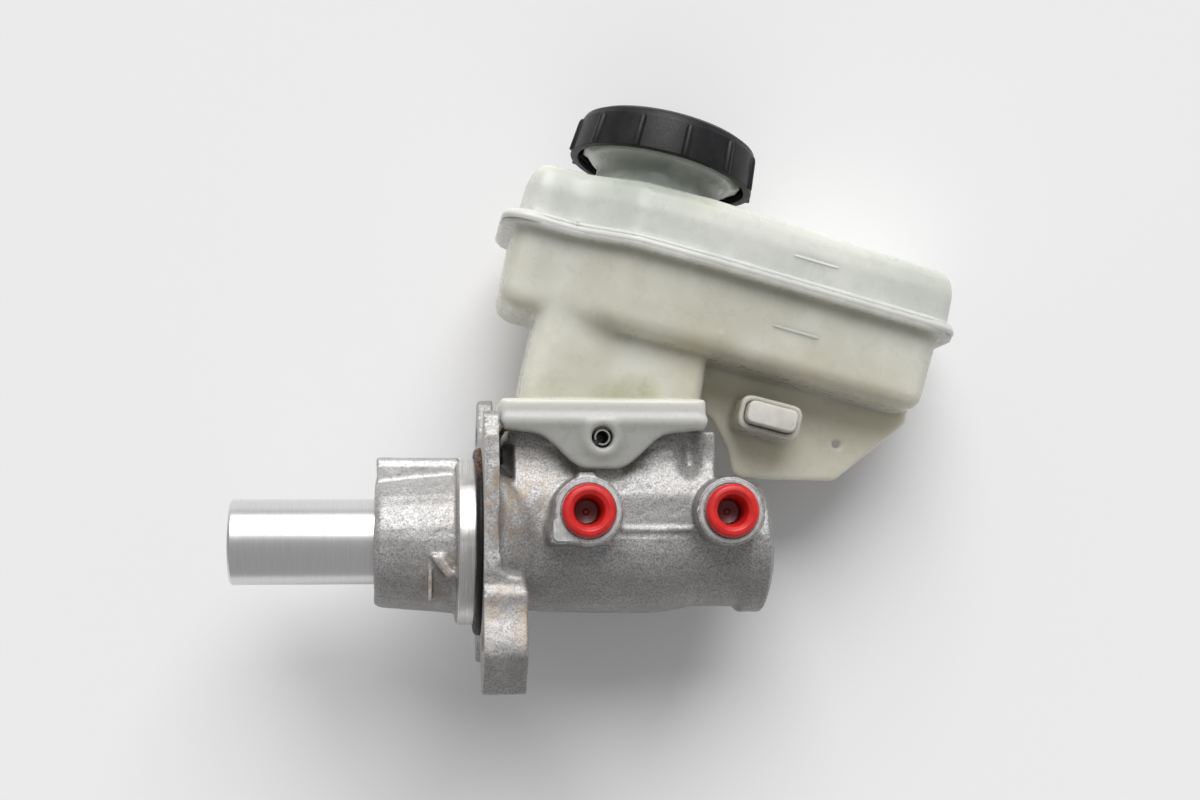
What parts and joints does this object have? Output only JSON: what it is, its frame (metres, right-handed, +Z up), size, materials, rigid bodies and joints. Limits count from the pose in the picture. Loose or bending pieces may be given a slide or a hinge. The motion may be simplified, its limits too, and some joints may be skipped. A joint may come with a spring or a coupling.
{
  "type": "brake master cylinder",
  "caption": "Tandem hydraulic brake master cylinder with sliding pistons, flange mount and tilted plastic fluid reservoir with screw cap.",
  "frame": {"origin": "on the bore's axis, on the flange's mounting face", "axes": "+X along the bore from the mounting face to the closed front end, +Z up to the reservoir, the outlet ports face -Y"},
  "size_m": [0.2041, 0.068, 0.1655],
  "materials": {
    "cast_aluminium": "sand cast, machined on the spigot and port faces",
    "aluminium": "turned and brushed",
    "steel": "drawn spring steel",
    "rubber": "moulded black rubber",
    "red_plastic": "soft red moulded plastic",
    "natural_plastic": "translucent uncoloured moulded plastic",
    "white_plastic": "opaque white moulded plastic",
    "black_plastic": "fine grained black moulded plastic"
  },
  "bodies": {
    "cylinder": {"cylinder_body": "cast_aluminium", "flange_o_ring": "rubber", "piston_guide": "aluminium", "guide_stem_seal": "rubber", "guide_outer_seal": "rubber", "guide_snap_ring": "steel", "piston_stop_pin": "steel", "reservoir_grommet_rear": "rubber", "reservoir_grommet_front": "rubber", "reservoir_roll_pin": "steel", "reservoir_lower": "natural_plastic", "reservoir_upper": "natural_plastic", "reservoir_baffle": "natural_plastic", "filler_strainer": "white_plastic", "secondary_spring": "steel"},
    "primary_piston": {"primary_piston": "aluminium", "primary_rear_seal": "rubber", "primary_cup": "rubber", "primary_spring_screw": "steel"},
    "secondary_piston": {"secondary_piston": "aluminium", "secondary_rear_cup": "rubber", "secondary_front_cup": "rubber", "primary_spring_seat": "steel", "primary_spring": "steel"},
    "rear_plug": {"port_plug_rear": "red_plastic"},
    "front_plug": {"port_plug_front": "red_plastic"},
    "level_sensor": {"level_sensor": "white_plastic"},
    "level_float": {"level_float": "black_plastic"},
    "cap_gasket": {"cap_gasket": "rubber"},
    "cap_diaphragm": {"cap_diaphragm": "rubber"},
    "cap": {"reservoir_cap": "black_plastic"}
  },
  "joints": [
    {"name": "primary_stroke", "type": "slide", "parent": "cylinder", "child": "primary_piston", "axis": [1, 0, 0], "range_m": [0, 0.02], "stiffness_N_per_m": 2500, "springref_m": -0.02, "deforming": ["primary_spring"]},
    {"name": "secondary_stroke", "type": "slide", "parent": "cylinder", "child": "secondary_piston", "axis": [1, 0, 0], "range_m": [0, 0.0088], "deforming": ["secondary_spring"]},
    {"name": "rear_plug_pull", "type": "slide", "parent": "cylinder", "child": "rear_plug", "axis": [0, -1, 0], "range_m": [0, 0.014]},
    {"name": "front_plug_pull", "type": "slide", "parent": "cylinder", "child": "front_plug", "axis": [0, -1, 0], "range_m": [0, 0.014]},
    {"name": "sensor_pull", "type": "slide", "parent": "cylinder", "child": "level_sensor", "axis": [0, -1, 0], "range_m": [0, 0.018]},
    {"name": "float_rise", "type": "slide", "parent": "cylinder", "child": "level_float", "axis": [0.2436, 0, 0.9699], "range_m": [0, 0.022]},
    {"name": "cap_removal", "type": "slide", "parent": "cylinder", "child": "cap_gasket", "axis": [0.2436, 0, 0.9699], "range_m": [0, 0.045]},
    {"name": "cap_lift", "type": "slide", "parent": "cap_gasket", "child": "cap_diaphragm", "axis": [0.2436, 0, 0.9699], "range_m": [0, 0.005]},
    {"name": "cap_turn", "type": "hinge", "parent": "cap_diaphragm", "child": "cap", "pos_m": [0.05401, 0, 0.11225], "axis": [0.2436, 0, 0.9699], "range_deg": [0, 450]}
  ],
  "couplings": [
    {"joint": "secondary_stroke", "follows": "primary_stroke", "ratio": 0.44},
    {"joint": "cap_lift", "follows": "cap_turn", "m_per_rad": 0.00063661}
  ]
}
